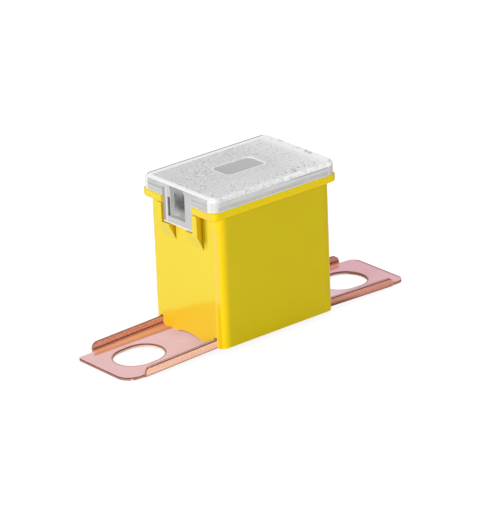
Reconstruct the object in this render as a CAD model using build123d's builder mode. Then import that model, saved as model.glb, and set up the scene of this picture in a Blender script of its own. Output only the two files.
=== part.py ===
from build123d import *
from math import cos, radians, sin, tan
import os

# Automotive cartridge fuse with two bolt-down terminals and a clear clip-on lid.
# Millimetres. X runs from terminal to terminal, Y across, Z up.
# The origin is under the middle of the body, on the plane that the tips of the terminals touch.

# ---- driving dimensions: moulded body ----
body_length = 16.7
body_width = 12.0
body_height = 15.7          # bottom rim to the underside of the rim flange
body_wall = 0.9
body_corner_r = 0.85
cavity_corner_r = 0.4
body_lift = 0.27            # underside of the strip, where it leaves the body, to the bottom rim

# ---- driving dimensions: rim flange round the mouth of the body ----
flange_thickness = 0.95
flange_end_overhang = 0.95
flange_side_overhang = 0.43
flange_corner_r = 1.05
flange_edge_r = 0.15
flange_foot_r = 0.3         # lower edge of the flange

# ---- driving dimensions: stamped fuse element ----
sheet = 0.35
terminal_reach = 20.77      # middle of the body to the tip of a terminal
terminal_droop = 1.65       # degrees down towards the tip, so that a terminal springs flat when bolted
terminal_width = 10.0
tip_width = 9.0             # flat tip, narrower than the channel
right_tip_r = 1.1           # both corners of the right tip
left_tip_front_r = 1.9
left_tip_back_r = 0.3
stiffener_height = 1.25     # turned-up edge of a terminal, measured from its underside
stiffener_bend_r = 0.5      # outside of the bend
stiffener_tip_gap = 2.3     # flat left between the turned-up edge and the tip
stiffener_end_r = 0.75
left_tip_to_slot = 5.17     # tip of a terminal to the middle of its bolt slot
right_tip_to_slot = 5.87
bolt_slot_width = 5.1
bolt_slot_length = 6.2
riser_width = 6.0
riser_setback = 1.3         # end wall to the outer face of the riser
riser_bend_r = 0.6
dart_width = 3.6            # shallow dart pressed up where the terminal enters the body
dart_rise = 0.26
dart_lead = 0.6             # end wall to where the dart starts to fade out
link_height = 11.6          # origin to the underside of the fusible link
link_neck_width = 1.3
link_neck_length = 4.4
link_notch_r = 0.9          # rounded ends of the waist beside the neck

# ---- driving dimensions: tin pellet clenched on the neck ----
pellet_length = 2.4
pellet_width = 2.6
pellet_height = 1.5
pellet_edge_r = 0.3
clench_gap = 0.02

# ---- driving dimensions: clear lid ----
lid_inset = 0.12            # lid edge to flange edge, all round
lid_height = 1.7
lid_top = 0.6
lid_skirt = 0.75
lid_corner_r = 1.15
lid_edge_r = 0.6
lid_rim_depth = 1.2         # locating rim that drops inside the body
lid_rim_wall = 0.6
rating_window_length = 5.6
rating_window_width = 3.1
rating_window_depth = 0.12
rating_window_corner = 0.45

# ---- driving dimensions: latch legs of the lid and their pockets in the body ----
leg_width = 5.3
leg_depth = 3.15            # flange top to the foot of a leg
leg_recess = 0.25           # leg face behind the edge of the flange
latch_recess_width = 2.5
latch_recess_sill = 0.85    # foot of the leg to the bottom of its recess
latch_recess_depth = 0.55
latch_recess_wall = 0.45    # wall of the key behind the leg, round the recess and behind it
relief_width = 0.45
relief_depth = 0.45
relief_offset = 0.1         # recess edge to the relief groove beside it
detent_r = 0.22
detent_height = 0.9         # foot of the leg to the detent on its edge
detent_length = 0.3         # from the back of the leg
pocket_bar = 0.8            # bar of the pocket frame beside the leg
stop_width = 2.15           # buttress under each corner of the leg, with its bar
stop_slope_start = 0.25     # foot of the leg to the start of the slope
stop_slope = 1.9

# ---- driving dimensions: guides inside the body ----
guide_thickness = 0.7
guide_overlap = 0.6         # guide rib past the edge of the riser
guide_lead = 1.0            # bottom rim to the foot of a guide rib

# ---- clearances ----
lid_clearance = 0.1
leg_clearance = 0.08
sheet_clearance = 0.06
stiffener_headroom = 0.2
detent_clearance = 0.03

# ---- derived levels and sizes ----
droop_angle = radians(terminal_droop)
terminal_run = terminal_reach - body_length / 2
terminal_root = terminal_run * sin(droop_angle)
body_base = terminal_root + body_lift
flange_bottom = body_base + body_height
flange_top = flange_bottom + flange_thickness
flange_length = body_length + 2 * flange_end_overhang
flange_width = body_width + 2 * flange_side_overhang
cavity_length = body_length - 2 * body_wall
cavity_width = body_width - 2 * body_wall
lid_length = flange_length - 2 * lid_inset
lid_width = flange_width - 2 * lid_inset
lid_underside = flange_top + lid_height - lid_top
leg_foot = flange_top - leg_depth
leg_inner = body_length / 2 + leg_clearance
leg_outer = flange_length / 2 - leg_recess
pocket_width = leg_width + 2 * leg_clearance
pocket_floor = leg_foot - leg_clearance
latch_sill = leg_foot + latch_recess_sill
key_width = latch_recess_width + 2 * latch_recess_wall
key_foot = latch_sill - latch_recess_wall
key_depth = latch_recess_depth + latch_recess_wall
riser_outer = cavity_length / 2 - riser_setback
riser_inner = riser_outer - sheet
foot_end = riser_outer + riser_bend_r
stiffener_run = terminal_run - stiffener_tip_gap
dart_radius = (dart_width**2 / 4 + dart_rise**2) / (2 * dart_rise)

# Both ends of the body, looking out of it: x runs across and y runs up.
end_faces = [
    Plane(origin=(end * body_length / 2, 0, 0), x_dir=(0, end, 0), z_dir=(end, 0, 0))
    for end in (1, -1)
]

# The same at the roots of the terminals, tipped down with them.
root_faces = [
    Plane(
        origin=(end * body_length / 2, 0, terminal_root),
        x_dir=(0, end, 0),
        z_dir=(end * cos(droop_angle), 0, -sin(droop_angle)),
    )
    for end in (1, -1)
]


def end_planes(offset):
    """Planes parallel to the two end faces, moved outwards by offset."""
    return [face.offset(offset) for face in end_faces]


def span(width, low, high):
    """A rectangle centred across the end face, from one height to another."""
    with Locations((0, (low + high) / 2)):
        Rectangle(width, high - low)


# ---- housing: one yellow moulding, open above and below ----
buttress_y = pocket_width / 2 + pocket_bar - stop_width / 2
slope_top = leg_foot - stop_slope_start
buttress_planes = [
    Plane(origin=(0, across * buttress_y, 0), x_dir=(end, 0, 0), z_dir=(0, -end, 0))
    for end in (1, -1)
    for across in (1, -1)
]
guide_y = (riser_width / 2 - guide_overlap + cavity_width / 2 + body_wall / 2) / 2
guide_length = cavity_width / 2 + body_wall / 2 - (riser_width / 2 - guide_overlap)
guide_x = riser_inner - sheet_clearance - guide_thickness / 2
guide_base = body_base + guide_lead
guide_top = link_height - riser_bend_r

with BuildPart() as housing:
    with BuildSketch(Plane.XY.offset(body_base)):
        RectangleRounded(body_length, body_width, body_corner_r)
    extrude(amount=body_height)
    with BuildSketch(Plane.XY.offset(flange_bottom)):
        RectangleRounded(flange_length, flange_width, flange_corner_r)
    extrude(amount=flange_thickness)
    fillet(housing.edges().filter_by(Plane.XY).group_by(Axis.Z)[-1], flange_edge_r)
    foot_edges = housing.faces().filter_by(Plane.XY).sort_by(Axis.Z)[1].outer_wire().edges()
    fillet(foot_edges, flange_foot_r)

    # Buttresses: the frame of each latch pocket, sloping back into the wall.
    with BuildSketch(*buttress_planes):
        with BuildLine():
            Polyline(
                (body_length / 2 - body_wall / 2, slope_top - stop_slope),
                (body_length / 2, slope_top - stop_slope),
                (flange_length / 2, slope_top),
                (flange_length / 2, flange_bottom),
                (body_length / 2 - body_wall / 2, flange_bottom),
                close=True,
            )
        make_face()
    extrude(amount=stop_width / 2, both=True)

    # Latch pockets, cut through the rim flange down to the buttresses.
    with BuildSketch(*end_faces):
        span(pocket_width, pocket_floor, flange_top)
    extrude(amount=flange_end_overhang, mode=Mode.SUBTRACT)

    # Cavity, open at both ends so that the element goes in from below.
    with BuildSketch(Plane.XY.offset(body_base)):
        RectangleRounded(cavity_length, cavity_width, cavity_corner_r)
    extrude(amount=flange_top - body_base, mode=Mode.SUBTRACT)

    # Mouth notches that take the keys behind the latch legs.
    with BuildSketch(*end_faces):
        span(key_width + 2 * lid_clearance, key_foot - lid_clearance, flange_top)
    extrude(amount=-body_wall, mode=Mode.SUBTRACT)

    # Guide ribs that hold the risers of the element against sideways shake.
    with BuildSketch(Plane.XY.offset(guide_base)):
        for side in (1, -1):
            with Locations((guide_x, side * guide_y), (-guide_x, side * guide_y)):
                Rectangle(guide_thickness, guide_length)
    extrude(amount=guide_top - guide_base)

    # Terminal passages: the end walls sit on the plates and clear their edges and darts.
    with BuildSketch(*root_faces):
        span(terminal_width + 2 * sheet_clearance, 0, sheet)
        for depth, passage_top in (
            (stiffener_bend_r, stiffener_bend_r),
            (sheet, stiffener_height + stiffener_headroom),
        ):
            for side in (1, -1):
                with Locations((side * (terminal_width - depth) / 2, passage_top / 2)):
                    Rectangle(depth + 2 * sheet_clearance, passage_top)
        with Locations((0, sheet + dart_rise - dart_radius)):
            Circle(dart_radius + sheet_clearance)
    extrude(amount=-body_wall - sheet, mode=Mode.SUBTRACT)

    # Detent ribs on the pocket sides snap into the edges of the latch legs.
    with BuildSketch(*end_planes(leg_clearance)):
        for side in (1, -1):
            with Locations((side * pocket_width / 2, leg_foot + detent_height)):
                Circle(detent_r)
    extrude(amount=detent_length)

housing.part.label = "housing"

# ---- lid: clear moulding with a skirt, a locating rim and two latch legs ----
rim_length = cavity_length - 2 * lid_clearance
rim_width = cavity_width - 2 * lid_clearance

with BuildPart() as lid:
    with BuildSketch(Plane.XY.offset(flange_top)):
        RectangleRounded(lid_length, lid_width, lid_corner_r)
    extrude(amount=lid_height)
    fillet(lid.faces().sort_by(Axis.Z)[-1].edges(), lid_edge_r)
    with BuildSketch(Plane.XY.offset(flange_top)):
        RectangleRounded(lid_length - 2 * lid_skirt, lid_width - 2 * lid_skirt, cavity_corner_r)
    extrude(amount=lid_height - lid_top, mode=Mode.SUBTRACT)

    # Latch legs hang from the skirt; their faces are set back from it.
    with BuildSketch(*end_planes(leg_outer - body_length / 2)):
        span(leg_width, flange_top, lid_underside)
    extrude(amount=lid_length, mode=Mode.SUBTRACT)
    with BuildSketch(*end_planes(leg_clearance)):
        span(leg_width, leg_foot, lid_underside + lid_top / 3)
    extrude(amount=leg_outer - leg_inner)

    # Locating rim inside the mouth of the body.
    with BuildSketch(Plane.XY.offset(flange_top - lid_rim_depth)):
        RectangleRounded(rim_length, rim_width, cavity_corner_r)
        RectangleRounded(
            rim_length - 2 * lid_rim_wall, rim_width - 2 * lid_rim_wall, cavity_corner_r,
            mode=Mode.SUBTRACT,
        )
    extrude(amount=lid_underside - flange_top + lid_rim_depth)

    # A key behind each leg drops into the mouth notch; the leg's face is recessed into it.
    with BuildSketch(*end_planes(leg_outer - body_length / 2)):
        span(key_width, key_foot, lid_underside)
    extrude(amount=-key_depth)
    with BuildSketch(*end_planes(leg_outer - body_length / 2)):
        span(latch_recess_width, latch_sill, lid_underside)
    extrude(amount=-latch_recess_depth, mode=Mode.SUBTRACT)

    # Relief groove beside each recess, and the dents that the detents snap into.
    relief_x = latch_recess_width / 2 + relief_offset + relief_width / 2
    with BuildSketch(*end_planes(leg_outer - body_length / 2)):
        with Locations((-relief_x, (latch_sill + flange_top) / 2)):
            Rectangle(relief_width, flange_top - latch_sill)
    extrude(amount=-relief_depth, mode=Mode.SUBTRACT)
    with BuildSketch(*end_faces):
        for side in (1, -1):
            with Locations((side * pocket_width / 2, leg_foot + detent_height)):
                Circle(detent_r + detent_clearance)
    extrude(amount=leg_clearance + detent_length + detent_clearance, mode=Mode.SUBTRACT)

    # Smooth rating window, sunk in the frosted top.
    with BuildSketch(Plane.XY.offset(flange_top + lid_height)):
        Rectangle(rating_window_length, rating_window_width)
        chamfer(vertices(), rating_window_corner)
    extrude(amount=-rating_window_depth, mode=Mode.SUBTRACT)

lid.part.label = "lid"

# ---- one terminal, flat: its underside at z = 0 and the end wall of the body at x = 0 ----
dart_ends = (foot_end - body_length / 2 + dart_width / 2, dart_lead)

with BuildPart() as terminal:
    # Channel: the plate with both long edges turned up, from the inside of the wall outwards.
    with BuildSketch(Plane.YZ.offset(-body_wall)):
        with Locations((0, stiffener_height / 2)):
            Rectangle(terminal_width, stiffener_height)
        fillet(vertices().group_by(Axis.Y)[0], stiffener_bend_r)
        with BuildSketch(mode=Mode.PRIVATE) as channel_inside:
            with Locations((0, sheet + stiffener_height / 2)):
                Rectangle(terminal_width - 2 * sheet, stiffener_height)
            fillet(vertices().group_by(Axis.Y)[0], stiffener_bend_r - sheet)
        add(channel_inside.sketch, mode=Mode.SUBTRACT)
    extrude(amount=stiffener_run + body_wall)

    # The turned-up edges end in a rounded corner.
    with BuildSketch(Plane.XZ):
        with Locations(((stiffener_run - body_wall) / 2, stiffener_height / 2)):
            Rectangle(stiffener_run + body_wall, stiffener_height)
        fillet(vertices().group_by(Axis.X)[-1].sort_by(Axis.Y)[-1], stiffener_end_r)
    extrude(amount=terminal_width, both=True, mode=Mode.INTERSECT)

    # Flat tip beyond them, and the narrow foot inside the body.
    with BuildSketch(Plane.XY):
        with Locations((stiffener_run + stiffener_tip_gap / 2, 0)):
            Rectangle(stiffener_tip_gap, tip_width)
        foot_start = foot_end - sheet - body_length / 2
        with Locations(((foot_start - body_wall) / 2, 0)):
            Rectangle(-body_wall - foot_start, riser_width)
    extrude(amount=sheet)

    # Dart along the middle, pressed up out of the sheet with rounded ends.
    for level, mode in ((sheet, Mode.ADD), (0, Mode.SUBTRACT)):
        with BuildSketch(Plane.YZ.offset(dart_ends[0])):
            with Locations((0, level + dart_rise - dart_radius)):
                Circle(dart_radius)
            with Locations((0, level + dart_rise / 2)):
                Rectangle(dart_width, dart_rise, mode=Mode.INTERSECT)
        extrude(amount=dart_ends[1] - dart_ends[0], mode=mode)
        for end in dart_ends:
            with BuildSketch(Plane.XZ):
                with Locations((end, level + dart_rise - dart_radius)):
                    Circle(dart_radius)
                with Locations((end + dart_width / 4, level + dart_rise / 2)):
                    Rectangle(dart_width / 2, dart_rise, mode=Mode.INTERSECT)
            revolve(axis=Axis((end, 0, 0), (0, 0, 1)), mode=mode)

# ---- fuse element: one copper strip, both terminals, risers and the fusible link ----
neck_half = link_neck_width / 2


def strip_middle(x):
    """Height of the middle of the sloping strip, at a distance from the middle of the body."""
    return terminal_root + (body_length / 2 - x) * tan(droop_angle) + sheet / 2 / cos(droop_angle)


with BuildPart() as fuse_element:
    # Riser and link, bent from the same strip as the terminal's foot.
    riser_x = riser_outer - sheet / 2
    with BuildSketch(Plane.XZ):
        with BuildLine():
            FilletPolyline(
                (foot_end, strip_middle(foot_end)),
                (riser_x, strip_middle(riser_x)),
                (riser_x, link_height + sheet / 2),
                (0, link_height + sheet / 2),
                radius=riser_bend_r,
            )
        trace(line_width=sheet)
    extrude(amount=riser_width / 2, both=True)

    # Waist: both sides of the link are cut back to the narrow neck.
    with BuildSketch(Plane.XY.offset(link_height)):
        waist_depth = riser_width - neck_half
        for side in (1, -1):
            with Locations((0, side * (neck_half + waist_depth / 2))):
                Rectangle(link_neck_length, waist_depth)
        fillet(vertices().group_by(Axis.X)[-1].sort_by(Axis.Y)[1:3], link_notch_r)
    extrude(amount=sheet, mode=Mode.SUBTRACT)

    # The terminal slopes down from the end wall.
    with Locations(Location((body_length / 2, 0, terminal_root), (0, terminal_droop, 0))):
        add(terminal.part)

    # The left half is the right one turned over the middle of the link.
    mirror(about=Plane.YZ)

    # The corners of the two tips are rounded differently.
    right_tip = fuse_element.faces().sort_by(Axis.X)[-1]
    fillet(right_tip.edges().sort_by(SortBy.LENGTH)[:2], right_tip_r)
    for corner, corner_r in ((0, left_tip_front_r), (-1, left_tip_back_r)):
        left_tip = fuse_element.faces().sort_by(Axis.X)[0]
        fillet(left_tip.edges().sort_by(SortBy.LENGTH)[:2].sort_by(Axis.Y)[corner], corner_r)

    # Slotted bolt holes, square to the bolting plane.
    with BuildSketch(Plane.XY):
        with Locations(
            (left_tip_to_slot - terminal_reach, 0), (terminal_reach - right_tip_to_slot, 0)
        ):
            SlotOverall(bolt_slot_length, bolt_slot_width)
    extrude(amount=terminal_root + sheet, mode=Mode.SUBTRACT)

fuse_element.part.label = "fuse_element"

# ---- tin pellet: clenched round the neck, it makes the fuse slow-blowing ----
with BuildPart() as tin_pellet:
    with BuildSketch(Plane.XY.offset(link_height + sheet / 2 - pellet_height / 2)):
        Rectangle(pellet_length, pellet_width)
    extrude(amount=pellet_height)
    fillet(tin_pellet.edges(), pellet_edge_r)
    with BuildSketch(Plane.YZ.offset(-pellet_length / 2)):
        with Locations((0, link_height + sheet / 2)):
            Rectangle(link_neck_width + 2 * clench_gap, sheet + 2 * clench_gap)
    extrude(amount=pellet_length, mode=Mode.SUBTRACT)

tin_pellet.part.label = "tin_pellet"

# ---- one STEP file for each piece ----
os.makedirs("parts", exist_ok=True)
export_step(housing.part, "parts/housing.step")
export_step(lid.part, "parts/lid.step")
export_step(fuse_element.part, "parts/fuse_element.step")
export_step(tin_pellet.part, "parts/tin_pellet.step")
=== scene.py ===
from math import pi, radians

import bpy
from mathutils import Matrix, Vector


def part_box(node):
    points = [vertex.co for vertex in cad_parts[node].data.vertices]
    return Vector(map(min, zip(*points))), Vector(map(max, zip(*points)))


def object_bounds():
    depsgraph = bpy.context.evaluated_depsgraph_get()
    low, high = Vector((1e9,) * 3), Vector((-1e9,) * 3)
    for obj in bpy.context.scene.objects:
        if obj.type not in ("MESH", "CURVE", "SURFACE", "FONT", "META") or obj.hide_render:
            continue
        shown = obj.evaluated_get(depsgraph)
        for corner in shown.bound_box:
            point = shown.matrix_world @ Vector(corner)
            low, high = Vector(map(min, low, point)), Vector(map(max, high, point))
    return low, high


# Automotive cartridge fuse with two bolt-down terminals and a clear clip-on lid.
# Metres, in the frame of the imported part: X from terminal to terminal, Z up.
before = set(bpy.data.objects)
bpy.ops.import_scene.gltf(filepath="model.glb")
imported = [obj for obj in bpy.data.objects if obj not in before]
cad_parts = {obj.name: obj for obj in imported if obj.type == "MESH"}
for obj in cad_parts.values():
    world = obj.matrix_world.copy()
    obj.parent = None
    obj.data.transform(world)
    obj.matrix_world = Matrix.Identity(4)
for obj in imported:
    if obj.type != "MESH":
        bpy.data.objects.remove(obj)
cad_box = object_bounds()


# ---- housing -------------------------------------------------------------------------
# The body is one injection moulding in glossy yellow resin, open above and below.
# The mould leaves a faint waviness on its faces and a slightly duller, rubbed skin.
# It carries everything else: the copper element from below and the lid on its mouth.

MM = 0.001


class Wire:
    """An output of a material's node; arithmetic on it adds Math nodes."""

    def __init__(self, tree, socket=None):
        self.tree = tree
        self.socket = socket

    def node(self, kind, settings=None, inputs=None, output=0):
        """Add any node: its settings first, then the values or wires of its inputs."""
        new = self.tree.nodes.new(kind)
        for name, value in (settings or {}).items():
            setattr(new, name, value)
        for name, value in (inputs or {}).items():
            if isinstance(value, Wire):
                self.tree.links.new(value.socket, new.inputs[name])
            else:
                new.inputs[name].default_value = value
        return Wire(self.tree, new.outputs[output] if new.outputs else None)

    def math(self, operation, *values):
        return self.node("ShaderNodeMath", {"operation": operation}, dict(enumerate(values)))

    def __add__(self, other):
        return self.math("ADD", self, other)

    __radd__ = __add__

    def __sub__(self, other):
        return self.math("SUBTRACT", self, other)

    def __rsub__(self, other):
        return self.math("SUBTRACT", other, self)

    def __mul__(self, other):
        return self.math("MULTIPLY", self, other)

    __rmul__ = __mul__

    def __gt__(self, other):
        return self.math("GREATER_THAN", self, other)

    def __lt__(self, other):
        return self.math("LESS_THAN", self, other)

    def __abs__(self):
        return self.math("ABSOLUTE", self)


def new_material(name):
    """An empty material, with the wire that its nodes start from."""
    material = bpy.data.materials.new(name)
    material.use_nodes = True
    material.node_tree.nodes.clear()
    return material, Wire(material.node_tree)


def finish_material(shader):
    shader.node("ShaderNodeOutputMaterial", inputs={"Surface": shader})


def parts_of(vector):
    """The x, y and z of a vector."""
    return [
        vector.node("ShaderNodeSeparateXYZ", inputs={0: vector}, output=axis)
        for axis in range(3)
    ]


def place(wire):
    """The object position of a surface point in millimetres, whole and as x, y and z."""
    metres = wire.node("ShaderNodeTexCoord", output="Object")
    spot = wire.node(
        "ShaderNodeVectorMath", {"operation": "SCALE"}, {"Vector": metres, "Scale": 1 / MM}
    )
    return spot, parts_of(spot)


def facing(wire):
    """The x, y and z of the surface's own normal."""
    return parts_of(wire.node("ShaderNodeNewGeometry", output="Normal"))


def noise(spot, scale, detail, roughness=0.5):
    return spot.node(
        "ShaderNodeTexNoise",
        inputs={"Vector": spot, "Scale": scale, "Detail": detail, "Roughness": roughness},
    )


def rise(value, low, high):
    """0 below low, 1 above high and smooth between them."""
    return value.node(
        "ShaderNodeMapRange",
        {"interpolation_type": "SMOOTHSTEP"},
        {"Value": value, "From Min": low, "From Max": high},
    )


def fade(value, low, high):
    """1 below low, 0 above high and smooth between them."""
    return 1 - rise(value, low, high)


def blend(mask, first, second):
    """The first colour where the mask is 0 and the second where it is 1."""
    first, second = (
        (*colour, 1) if isinstance(colour, tuple) else colour for colour in (first, second)
    )
    return mask.node(
        "ShaderNodeMix", {"data_type": "RGBA"}, {0: mask, 6: first, 7: second}, output=2
    )


def coated(colour, *coats):
    """A colour under some coats, each with the mask of where it lies."""
    for mask, coat in coats:
        colour = blend(mask, colour, coat)
    return colour


def bump(height, strength, distance):
    return height.node(
        "ShaderNodeBump", inputs={"Strength": strength, "Distance": distance, "Height": height}
    )


def dress(name, material):
    """Give a CAD node its finish in place of the plain one."""
    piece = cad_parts[name]
    piece.data.materials.clear()
    piece.data.materials.append(material)


yellow, wire = new_material("glossy_yellow_resin")
spot, (across, along, up) = place(wire)
normal_x, normal_y, normal_z = facing(wire)
housing_low, housing_high = (Vector(corner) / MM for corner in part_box("housing"))
body_end = 8.35             # middle of the body to an end wall
rim_foot = housing_high.z - 0.95
reflection_height = 3.55          # top of the copper's reflection, in the middle of an end wall
reflection_slope = 0.42
pocket_reach = 4.2          # middle to the outer side of a latch pocket's frame
long_face = 5.9             # just inside a long face of the body
black = (0.0, 0.0, 0.0)

flow = noise(spot, 0.22, 3.0)
skin = noise(spot, 9.0, 4.0)
upright = abs(normal_z) < 0.3
sideways = abs(normal_y)

# The end walls carry a painted pale sheen, and a painted reflection of the copper above the
# terminals.
end_wall = rise(abs(normal_x), 0.6, 0.9)
reflection_top = housing_low.z + reflection_height - reflection_slope * along
painted_copper_reflection = rise(reflection_top - up + 1.2 * (flow - 0.5), -0.5, 0.35) * end_wall
painted_copper_reflection = painted_copper_reflection * fade(along, 4.5, 4.9) * rise(along, -5.15, -5.0)

# Painted light turns orange beside the latch pockets, as light between close walls would,
# and painted shade darkens their root and the end wall between a pocket and the rim.
pocket_side = rise(sideways, 0.6, 0.9) * (abs(across) > body_end + 0.05)
pocket_side = pocket_side * (abs(along) < pocket_reach)
pocket_root_shade = pocket_side * fade(abs(across), body_end, body_end + 0.6)
shaded = end_wall * fade(abs(along), 3.5, 4.5) * rise(up, 12.0, 13.6)
shaded = shaded * (abs(across) < body_end + 0.1) * (along < -3.4) * (up < rim_foot - 0.02)

# Painted light on the rim and the rounded corners: brighter colour and a painted glow.
rim_side = rise(sideways, 0.5, 0.8) * (up > rim_foot)
# Painted warm light on the rim's end faces towards their near corners.
rim_end = end_wall * (up > rim_foot) * rise(abs(along), 3.0, 5.0) * (along < 0)
# A painted highlight down each rounded corner.
corner = rise(sideways, 0.62, 0.74) * fade(sideways, 0.93, 0.985) * upright
# A painted highlight strip where each near corner begins to round, warm below and pale above.
corner_start_highlight = rise(sideways, 0.08, 0.25) * fade(sideways, 0.62, 0.74) * upright
corner_start_highlight = corner_start_highlight * (along < 0)
corner_start_highlight = corner_start_highlight * fade(up, housing_high.z - 3.4, housing_high.z - 1.6)
# A painted glow on the near long face beside its left corner.
beside_corner_glow = fade(across, 0.7 - body_end, 1.5 - body_end) * (normal_y < -0.93)
beside_corner_glow = beside_corner_glow * (up < rim_foot) * (along < -long_face)
highlight_strip_colours = blend(rise(up - housing_low.z, 4.6, 6.2), (0.93, 0.54, 0.005), (0.98, 0.64, 0.10))

colour = coated(
    blend(flow, (0.88, 0.70, 0.002), (0.86, 0.67, 0.001)),
    (end_wall, (0.87, 0.69, 0.05)),
    (painted_copper_reflection, (0.88, 0.57, 0.025)),
    (pocket_side, (0.86, 0.50, 0.004)),
    (pocket_root_shade, (0.35, 0.22, 0.002)),
    (rim_side, (0.90, 0.67, 0.0)),
    (shaded, (0.40, 0.27, 0.0)),
    (corner, (0.98, 0.72, 0.006)),
    (corner_start_highlight, highlight_strip_colours),
    (rim_end, (0.93, 0.63, 0.06)),
)
painted_glow = coated(
    blend(rim_side, black, (0.15, 0.11, 0.0)),
    (beside_corner_glow, (0.30, 0.13, 0.0)),
    (corner, (0.12, 0.06, 0.0)),
)
finish_material(
    wire.node(
        "ShaderNodeBsdfPrincipled",
        inputs={
            "Base Color": colour,
            "Roughness": 0.2 + 0.12 * skin,
            "IOR": 1.5,
            "Specular IOR Level": 0.2,
            "Emission Color": painted_glow,
            "Emission Strength": 1.0,
            "Normal": bump(noise(spot, 1.6, 1.0) + 0.15 * skin, 0.25, 0.02 * MM),
        },
    )
)
dress("housing", yellow)


# ---- fuse element --------------------------------------------------------------------
# One strip of rolled copper, stamped and bent: a channel-shaped terminal at each end,
# two risers and the narrow link between them. Its faces are bright with fine rolling
# lines; the stamped edges are darker.

def whichever(mask, first, second):
    """The first value where the mask is 0 and the second where it is 1."""
    return first + mask * (second - first)


def largest(first, *others):
    """The largest of some values, which for masks is all of them together."""
    for other in others:
        first = first.math("MAXIMUM", first, other)
    return first


def stretched(spot, scales):
    """A position scaled by its own factor along each axis."""
    return spot.node("ShaderNodeVectorMath", {"operation": "MULTIPLY"}, {0: spot, 1: scales})


copper, wire = new_material("rolled_copper")
spot, (across, along, up) = place(wire)
normal_x, normal_y, normal_z = facing(wire)
half_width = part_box("fuse_element")[1][1] / MM
plate_edge = 4.65           # middle to the inner face of a turned-up side
root_top = 0.71             # top of the plate where it leaves the body
fall = 0.0288               # drop of the plate for each millimetre towards its tip
side_end = 10.1             # end wall of the body to the end of a turned-up side
dart_length, dart_half = 3.3, 3.5
left_slot, right_slot = -15.6, 14.9     # middles of the bolt slots
slot_radius, slot_half_straight = 2.55, 0.55
hairline_width = 0.14
right_tip_line = 20.5       # start of the hairline along the right tip

rolled = stretched(spot, (0.12, 3.0, 3.0))
grain = noise(rolled, 2.4, 4.0)
tarnish = noise(rolled, 1.1, 1.0)
stain = noise(spot, 0.35, 3.0)
specks = noise(spot, 5.0, 2.0, 0.6)
past_wall = abs(across) - body_end
above_plate = up - root_top + fall * past_wall
on_right = across > 0
right_half = rise(across, -2.0, 2.0)
flat = rise(abs(normal_z), 0.8, 0.95)
on_plate = above_plate > -0.1

# Beside one of its turned-up sides the plate carries a painted reflection of that side.
reflection_reach = along + 1.75 - 0.06 * past_wall
painted_side_reflection = rise(reflection_reach, plate_edge - 0.3, plate_edge + 0.25) * flat * on_plate
painted_side_reflection = painted_side_reflection * fade(abs(across + 0.8 * (plate_edge - along)), 18.2, 18.5)
side_reflection_colours = blend(
    rise(reflection_reach, plate_edge, plate_edge + 0.8), (0.66, 0.26, 0.14), (0.92, 0.44, 0.25)
)

# Sheared edges: the rims of the strip, round the slots and along the turned-up sides.
turned_up = rise(abs(normal_y), 0.5, 0.9)
turned_up = turned_up * rise(abs(along), half_width - 0.7, half_width - 0.25)
riser = (past_wall < -0.05) * rise(abs(normal_x), 0.5, 0.9)
dart = (past_wall < dart_length) * (past_wall > -0.5) * (abs(along) < dart_half)
sheared = (1 - flat) * (1 - turned_up) * (1 - riser) * (1 - dart)
side_top = (abs(along) > plate_edge - 0.02) * (above_plate > 0.3) * rise(normal_z, 0.4, 0.7)
side_top = side_top * whichever(along > 0, 0.45, 0.75)

# Painted shade: dark lines inside the fold of a side and below it.
fold_shade = rise(above_plate, 0.06, 0.14) * fade(above_plate, 0.28, 0.38)
fold_shade = fold_shade * (abs(along) > plate_edge - 0.2) * (abs(along) < plate_edge + 0.1)
fold_shade = fold_shade * (past_wall < side_end + 0.1)
underside_shade = fade(normal_z, -0.6, -0.3) * (abs(along) > plate_edge - 0.25)
underside_shade = underside_shade * (past_wall < side_end + 0.2)
# The stamped edges and these lines of painted shade take the cut faces' colours.
cuts_and_shade = largest(sheared, side_top, fold_shade, underside_shade)

# The outer faces of the sides darken along their top edge, and with painted shade towards their
# foot.
outer_side = turned_up * (abs(along) > half_width - 0.1)
foot_top = whichever(on_right, 0.16, 0.44)
side_foot_shade = (abs(normal_y) > 0.35) * (abs(along) > plate_edge)
side_foot_shade = side_foot_shade * fade(above_plate - foot_top, -0.44, 0.0)
side_foot_shade = side_foot_shade * whichever(on_right, 0.5, 0.85 - 0.6 * rise(across, 10.0, 14.5))
side_rim = outer_side * rise(above_plate, 0.72, 0.8)
salmon = coated(
    blend(grain, (0.78, 0.31, 0.19), (1.0, 0.54, 0.40)),
    (0.4 * fade(tarnish, 0.35, 0.5), (0.52, 0.18, 0.11)),
    (rise(specks, 0.58, 0.68), (1.0, 0.72, 0.52)),
    (fade(specks, 0.32, 0.40), (0.50, 0.16, 0.12)),
    (side_foot_shade, (0.30, 0.12, 0.10)),
    (side_rim, (0.24, 0.09, 0.06)),
)

# The flat faces are pink, painted cooler close to the yellow wall against its yellow light, and
# browner with painted shade where they lean towards the left end.
cool = fade(past_wall, 0.0, 8.0) * (normal_z > 0.0)
pink = coated(
    blend(stain, (0.87, 0.57, 0.61), (0.95, 0.62, 0.67)),
    (cool, (0.92, 0.71, 0.98)),
    (1.1 * largest(0 - normal_x, 0.0), (0.72, 0.40, 0.24)),
    (painted_side_reflection, side_reflection_colours),
)

# A dark hairline runs round each bolt slot and along the right tip of the plate.
slot_middle = whichever(on_right, left_slot, right_slot)
past_straight = largest(abs(across - slot_middle) - slot_half_straight, 0.0)
past_slot = wire.math("SQRT", past_straight * past_straight + along * along) - slot_radius
hairline = largest(past_slot < hairline_width, across > right_tip_line) * flat * on_plate

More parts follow.
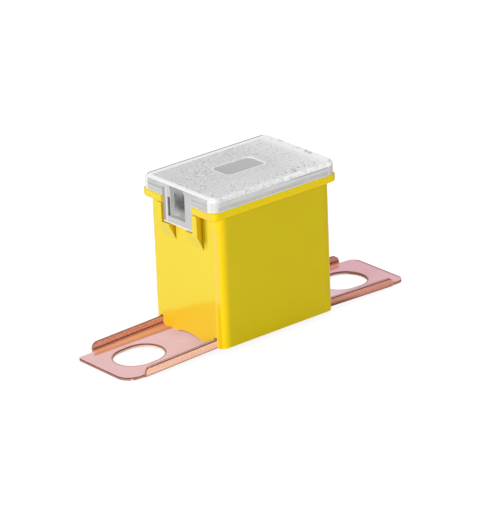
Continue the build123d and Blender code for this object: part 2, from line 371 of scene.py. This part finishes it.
# The cut faces are lighter inside the slots than along the outline.
outline = rise(abs(along), 4.2, 4.3) + rise(abs(across), 20.0, 20.1)
end_cut = rise(abs(normal_x), 0.5, 0.8) * (abs(past_wall - side_end + 0.3) < 0.8)
cut_face = coated(
    blend(outline, (0.88, 0.62, 0.55), (0.50, 0.26, 0.20)),
    (above_plate > -0.14, (0.20, 0.055, 0.035)),
    (end_cut, (0.50, 0.24, 0.17)),
)
colour = coated(
    blend(largest(flat, dart), salmon, pink),
    (0.7 * hairline, (0.35, 0.12, 0.09)),
    (cuts_and_shade, cut_face),
)

# Painted light: a glow for the light the polished copper throws back, most on the left
# terminal's side.
side_glow = blend(right_half, (0.38, 0.28, 0.21), (0.07, 0.01, 0.02))
plate_glow = blend(rise(past_wall, 1.0, 8.0), (0.2, 0.12, 0.11), (0.08, 0.01, 0.04))
painted_copper_glow = coated(
    blend(outer_side * (1 - side_foot_shade) * (1 - side_rim), black, side_glow),
    (turned_up * (1 - outer_side), (0.06, 0.04, 0.04)),
    (flat * right_half * (1 - cuts_and_shade), plate_glow),
)
finish_material(
    wire.node(
        "ShaderNodeBsdfPrincipled",
        inputs={
            "Base Color": colour,
            "Metallic": 0.35 - 0.3 * flat,
            "Roughness": 0.42 + 0.14 * grain,
            "Specular IOR Level": 0.3,
            "Emission Color": painted_copper_glow,
            "Emission Strength": 1.0,
            "Normal": bump(grain + 0.4 * specks, 0.2, 0.01 * MM),
        },
    )
)
dress("fuse_element", copper)


# ---- tin pellet ----------------------------------------------------------------------
# A small dull slug of cast tin. It is clenched round the neck of the link, where it
# melts into the copper on a long overload and lets the fuse blow slowly.

tin, wire = new_material("dull_cast_tin")
spot, _ = place(wire)
grit = noise(spot, 3.0, 5.0)
finish_material(
    wire.node(
        "ShaderNodeBsdfPrincipled",
        inputs={
            "Base Color": blend(grit, (0.5, 0.5, 0.5), (0.66, 0.66, 0.65)),
            "Metallic": 1.0,
            "Roughness": 0.3 + 0.25 * grit,
            "Normal": bump(grit, 0.4, 0.03 * MM),
        },
    )
)
dress("tin_pellet", tin)


# ---- lid -----------------------------------------------------------------------------
# A clear moulding that clips on by two legs. Its top is frosted by spark erosion of the
# mould, but for the polished edges and a sunk window in the middle for the rating.
# Its thick edges are painted white with a painted glow, and its deep places are painted grey as
# shade.

def band(value, low, high, soft):
    """1 between low and high, with soft edges."""
    return rise(value, low - soft, low + soft) * fade(value, high - soft, high + soft)


def grey(shade):
    return blend(shade, black, (1.0, 1.0, 1.0))


clear, wire = new_material("clear_frosted_resin")
spot, (across, along, up) = place(wire)
normal_x, normal_y, normal_z = facing(wire)
lid_end, lid_side, lid_top = Vector(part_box("lid")[1]) / MM
skirt_height = 1.7
window_length, window_width, window_corner = 5.6, 3.1, 0.45
leg_half, leg_depth, recess_half = 2.65, 3.15, 1.25
groove_middle, groove_half = 1.605, 0.23

height = up - (lid_top - skirt_height)
to_end = abs(across) - lid_end
to_side = abs(along) - lid_side

# Frosting: small bright and dark grains, stronger in patches and along the front edge,
# and faint in a calm stretch between that edge and the window.
grains = noise(spot, 2.8, 2.0, 0.6)
patches = noise(spot, 0.45, 2.0)
front_grains = rise(to_side, -1.9, -0.7) * (along < 0) * (0.6 + 0.7 * rise(across, 0.0, 5.0))
calm = band(along, -4.8, -2.9, 0.35) * band(across, -3.0, 4.5, 1.2)
grain_strength = (0.42 + 0.7 * rise(patches, 0.42, 0.62)) * (1 - 0.75 * calm) + front_grains
frost = 0.82 + 0.26 * grain_strength * (rise(grains, 0.56, 0.64) - fade(grains, 0.36, 0.44))
# Painted light: the top is lighter towards the right end and the front.
frost = frost + 0.13 * rise(across, 2.0, 7.0) + 0.06 * fade(along, -4.5, -1.0)
frost = frost + 0.04 * (patches - 0.5)

# Rating window: a darker polished floor in a light outline.
past_window = largest(
    abs(across) - window_length / 2,
    abs(along) - window_width / 2,
    0.707 * (abs(across) + abs(along) - (window_length + window_width) / 2 + window_corner),
)
frost = whichever(band(past_window, 0.0, 0.24, 0.04), frost, 1.0)
frost = whichever(past_window < 0.0, frost, 0.6 + 0.04 * (patches - 0.5))

# Polished edges round the frosted top, painted white with a painted glow, and dull blotches at
# one end.
top_face = rise(normal_z, 0.9, 0.98) * (height > skirt_height - 0.2)
polished = largest(
    rise(to_end, -0.54, -0.46),
    0.9 * rise(across, lid_end - 2.6, lid_end - 0.9),
    rise(along, lid_side - 1.55, lid_side - 1.0),
)
blotches = rise(noise(spot, 1.3, 2.0) + 0.2 * (grains - 0.5), 0.54, 0.64)
blotches = blotches * rise(across, lid_end - 1.3, lid_end - 0.9)
top_shade = whichever(polished, frost, 0.97)
top_shade = whichever(blotches, top_shade, 0.72)
top_glow = 0.16 * polished * (1 - blotches)

# Skirt: streaked grey with a dark line below its rounded edge; painted light and glow whiten its
# foot and corners.
long_wall = rise(abs(normal_y), 0.5, 0.8)
end_part = 1 - long_wall
corner_wall = largest(
    long_wall * rise(abs(across + 0.27) - lid_end, -1.18, -1.06),
    end_part * rise(abs(along + 0.13) - lid_side, -1.1, -0.98),
)
streaks = noise(stretched(spot, (0.25, 0.25, 3.0)), 1.6, 3.0)
dark_line = band(height, 0.96, 1.12, 0.04) * (0.04 + 0.34 * rise(across, -1.0, 5.0))
low_band = 0.17 * band(height, 0.08, 0.58, 0.08)
end_band = 0.12 * band(height, 0.7, 0.95, 0.06)
foot_line = fade(height, 0.02, 0.14)
wall_shade = whichever(long_wall, 0.62, 0.9) + 0.4 * (streaks - 0.5)
wall_shade = wall_shade - long_wall * (low_band + dark_line) - end_part * end_band
wall_shade = whichever(foot_line * whichever(long_wall, 0.4, 1.0), wall_shade, 0.98)
wall_shade = whichever(corner_wall, wall_shade, 0.9 + 0.3 * (streaks - 0.5))
wall_glow = whichever(corner_wall, long_wall * (0.05 + 0.1 * foot_line), 0.05)

# Rounded edge between skirt and top: painted white at the ends, frosted with a painted glow
# along the sides.
edge_shade = whichever(long_wall, 0.93, frost + 0.2 + 0.15 * rise(across, 3.0, 7.0))
front_glow = 0.04 + 0.18 * rise(grains, 0.5, 0.6) + 0.12 * rise(across, -1.0, 5.0)
edge_glow = whichever(long_wall, 0.05, front_glow)
edge_start = whichever(long_wall, 1.46, 1.1)
on_edge = rise(height - edge_start, -0.04, 0.04) * (1 - top_face)
skirt_shade = whichever(on_edge, wall_shade, edge_shade)
skirt_glow = whichever(on_edge, wall_glow, edge_glow)
shade = whichever(top_face, skirt_shade, top_shade)
painted_glow = whichever(top_face, skirt_glow, top_glow)

# A grey line of painted shade runs along the far side, where the top starts to round off.
far_outline = rise(along, lid_side - 0.78, lid_side - 0.7) * (normal_z > 0.8)
shade = whichever(far_outline, shade, 0.5)
painted_glow = painted_glow * (1 - far_outline)

# Latch legs: painted light and shade on the strips beside the recess, painted shade in the
# relief groove and the recess.
across_leg = along * wire.math("SIGN", across)     # the same way round on both legs
on_leg = (abs(along) < leg_half + 0.02) * (height < 1.12) * (to_end < -0.1)
leg_shade = 0.63 + 0.16 * (streaks - 0.5)
for strip, strip_shade in (
    (across_leg < 0.5 - leg_half, 0.42),
    (band(across_leg, 0.5 - leg_half, 0.68 - leg_half, 0.03), 0.9),
    (across_leg > leg_half - 0.16, 0.95),
    (height < 0.16 - leg_depth, 0.95),
):
    leg_shade = whichever(strip, leg_shade, strip_shade)
shade_mottle = 0.5 * (noise(spot, 0.9, 3.0) - 0.5)
in_recess = abs(along) < recess_half - 0.01
recess_floor = in_recess * (to_end < -0.6) * (height > -2.4) * (abs(normal_x) > 0.5)
recess_shade = 0.52 - 0.36 * rise(height, -2.2, -0.9) + 0.14 * rise(height, 0.2, 0.5)
recess_shade = recess_shade + shade_mottle - 0.12 * rise(across_leg, 0.2, 1.2)
leg_shade = whichever(recess_floor, leg_shade, recess_shade)
end_side = rise(abs(normal_x), 0.3, 0.6)
# The end face over the recess is painted dark with shade, as if the recess reached up to the
# rim.
over_recess_shade = in_recess * (height > 0.9) * (height < 1.44) * end_side * (1 - top_face)
groove = band(across_leg, -groove_middle - groove_half, groove_half - groove_middle, 0.01)
groove = groove * (to_end < -0.16) * (height < 0.01) * (height > -2.35) * on_leg
shade = whichever(over_recess_shade, shade, 0.34 + 0.6 * shade_mottle)
shade = whichever(on_leg * end_side, shade, leg_shade)
shade = whichever(groove, shade, 0.34)
painted_glow = painted_glow * (1 - on_leg)

milk = wire.node(
    "ShaderNodeBsdfPrincipled",
    inputs={
        "Base Color": grey(shade),
        "Roughness": whichever(top_face, 0.12, 0.35),
        "Specular IOR Level": 0.4,
        "Emission Color": grey(painted_glow),
        "Emission Strength": 1.0,
        "Normal": bump(grains * top_face, 0.35, 0.03 * MM),
    },
)
glass = wire.node(
    "ShaderNodeBsdfPrincipled",
    inputs={
        "Base Color": (0.98, 0.98, 0.98, 1),
        "Roughness": 0.05,
        "IOR": 1.45,
        "Transmission Weight": 1.0,
    },
)
cloudy = 0.88 + 0.06 * top_face
finish_material(wire.node("ShaderNodeMixShader", inputs={0: cloudy, 1: glass, 2: milk}))
dress("lid", clear)


# ---- floor, light and camera ---------------------------------------------------------
# A plain white sweep of paper under two soft studio lamps. The paper shows white, but
# keeps a soft trace of the shadow.

def seen(wire):
    """1 for what the eye sees of the surroundings, straight or through clear resin."""
    straight, through = (
        wire.node("ShaderNodeLightPath", output=name)
        for name in ("Is Camera Ray", "Is Transmission Ray")
    )
    return wire.math("MINIMUM", straight + through, 1.0)


white = (1, 1, 1, 1)
reach = 3.0
floor_gap = 0.05 * MM
floor_mesh = bpy.data.meshes.new("floor")
floor_mesh.from_pydata(
    [(-reach, -reach, 0), (reach, -reach, 0), (reach, reach, 0), (-reach, reach, 0)],
    [],
    [(0, 1, 2, 3)],
)
floor = bpy.data.objects.new("floor", floor_mesh)
floor.location.z = cad_box[0][2] - floor_gap
bpy.context.scene.collection.objects.link(floor)
paper, wire = new_material("white_paper")
lit = wire.node("ShaderNodeBsdfDiffuse", inputs={"Color": (0.8, 0.8, 0.8, 1)})
faintly_lit = wire.node("ShaderNodeBsdfDiffuse", inputs={"Color": (0.25, 0.25, 0.25, 1)})
white_glow = wire.node("ShaderNodeEmission", inputs={"Color": white, "Strength": 0.88})
shown = wire.node("ShaderNodeAddShader", inputs={0: faintly_lit, 1: white_glow})
finish_material(wire.node("ShaderNodeMixShader", inputs={0: seen(wire), 1: lit, 2: shown}))
floor_mesh.materials.append(paper)

world = bpy.data.worlds.new("studio")
bpy.context.scene.world = world
world.use_nodes = True
world.node_tree.nodes.clear()
wire = Wire(world.node_tree)
ambient = wire.node("ShaderNodeBackground", inputs={"Color": white, "Strength": 0.39})
backdrop = wire.node("ShaderNodeBackground", inputs={"Color": white, "Strength": 1.0})
around = wire.node("ShaderNodeMixShader", inputs={0: seen(wire), 1: ambient, 2: backdrop})
wire.node("ShaderNodeOutputWorld", inputs={"Surface": around})


def soft_box(name, position, size, power):
    """A square studio lamp that faces the middle of the fuse."""
    lamp = bpy.data.lights.new(name, "AREA")
    lamp.size = size
    lamp.energy = power
    holder = bpy.data.objects.new(name, lamp)
    holder.location = position
    line = Vector(position) - Vector((0, 0, 8 * MM))
    holder.rotation_euler = line.to_track_quat("Z", "Y").to_euler()
    bpy.context.scene.collection.objects.link(holder)


soft_box("key_left", (-0.52, -0.138, 0.12), 0.25, 1.85)
soft_box("top", (0.05, 0.1, 0.55), 0.3, 1.1)

turn, tilt, roll = radians(-39.078), radians(22.087), radians(-2.401)
attitude = (
    Matrix.Rotation(turn, 3, "Z")
    @ Matrix.Rotation(pi / 2 - tilt, 3, "X")
    @ Matrix.Rotation(roll, 3, "Z")
)
stand = Vector((-0.6115, 7.3608, 416.531)) * MM     # right, up and back from the origin
view = bpy.data.cameras.new("view")
view.lens = 254.72
camera = bpy.data.objects.new("view", view)
camera.matrix_world = Matrix.Translation(attitude @ stand) @ attitude.to_4x4()
bpy.context.scene.collection.objects.link(camera)
bpy.context.scene.camera = camera
bpy.context.scene.view_settings.view_transform = "Standard"
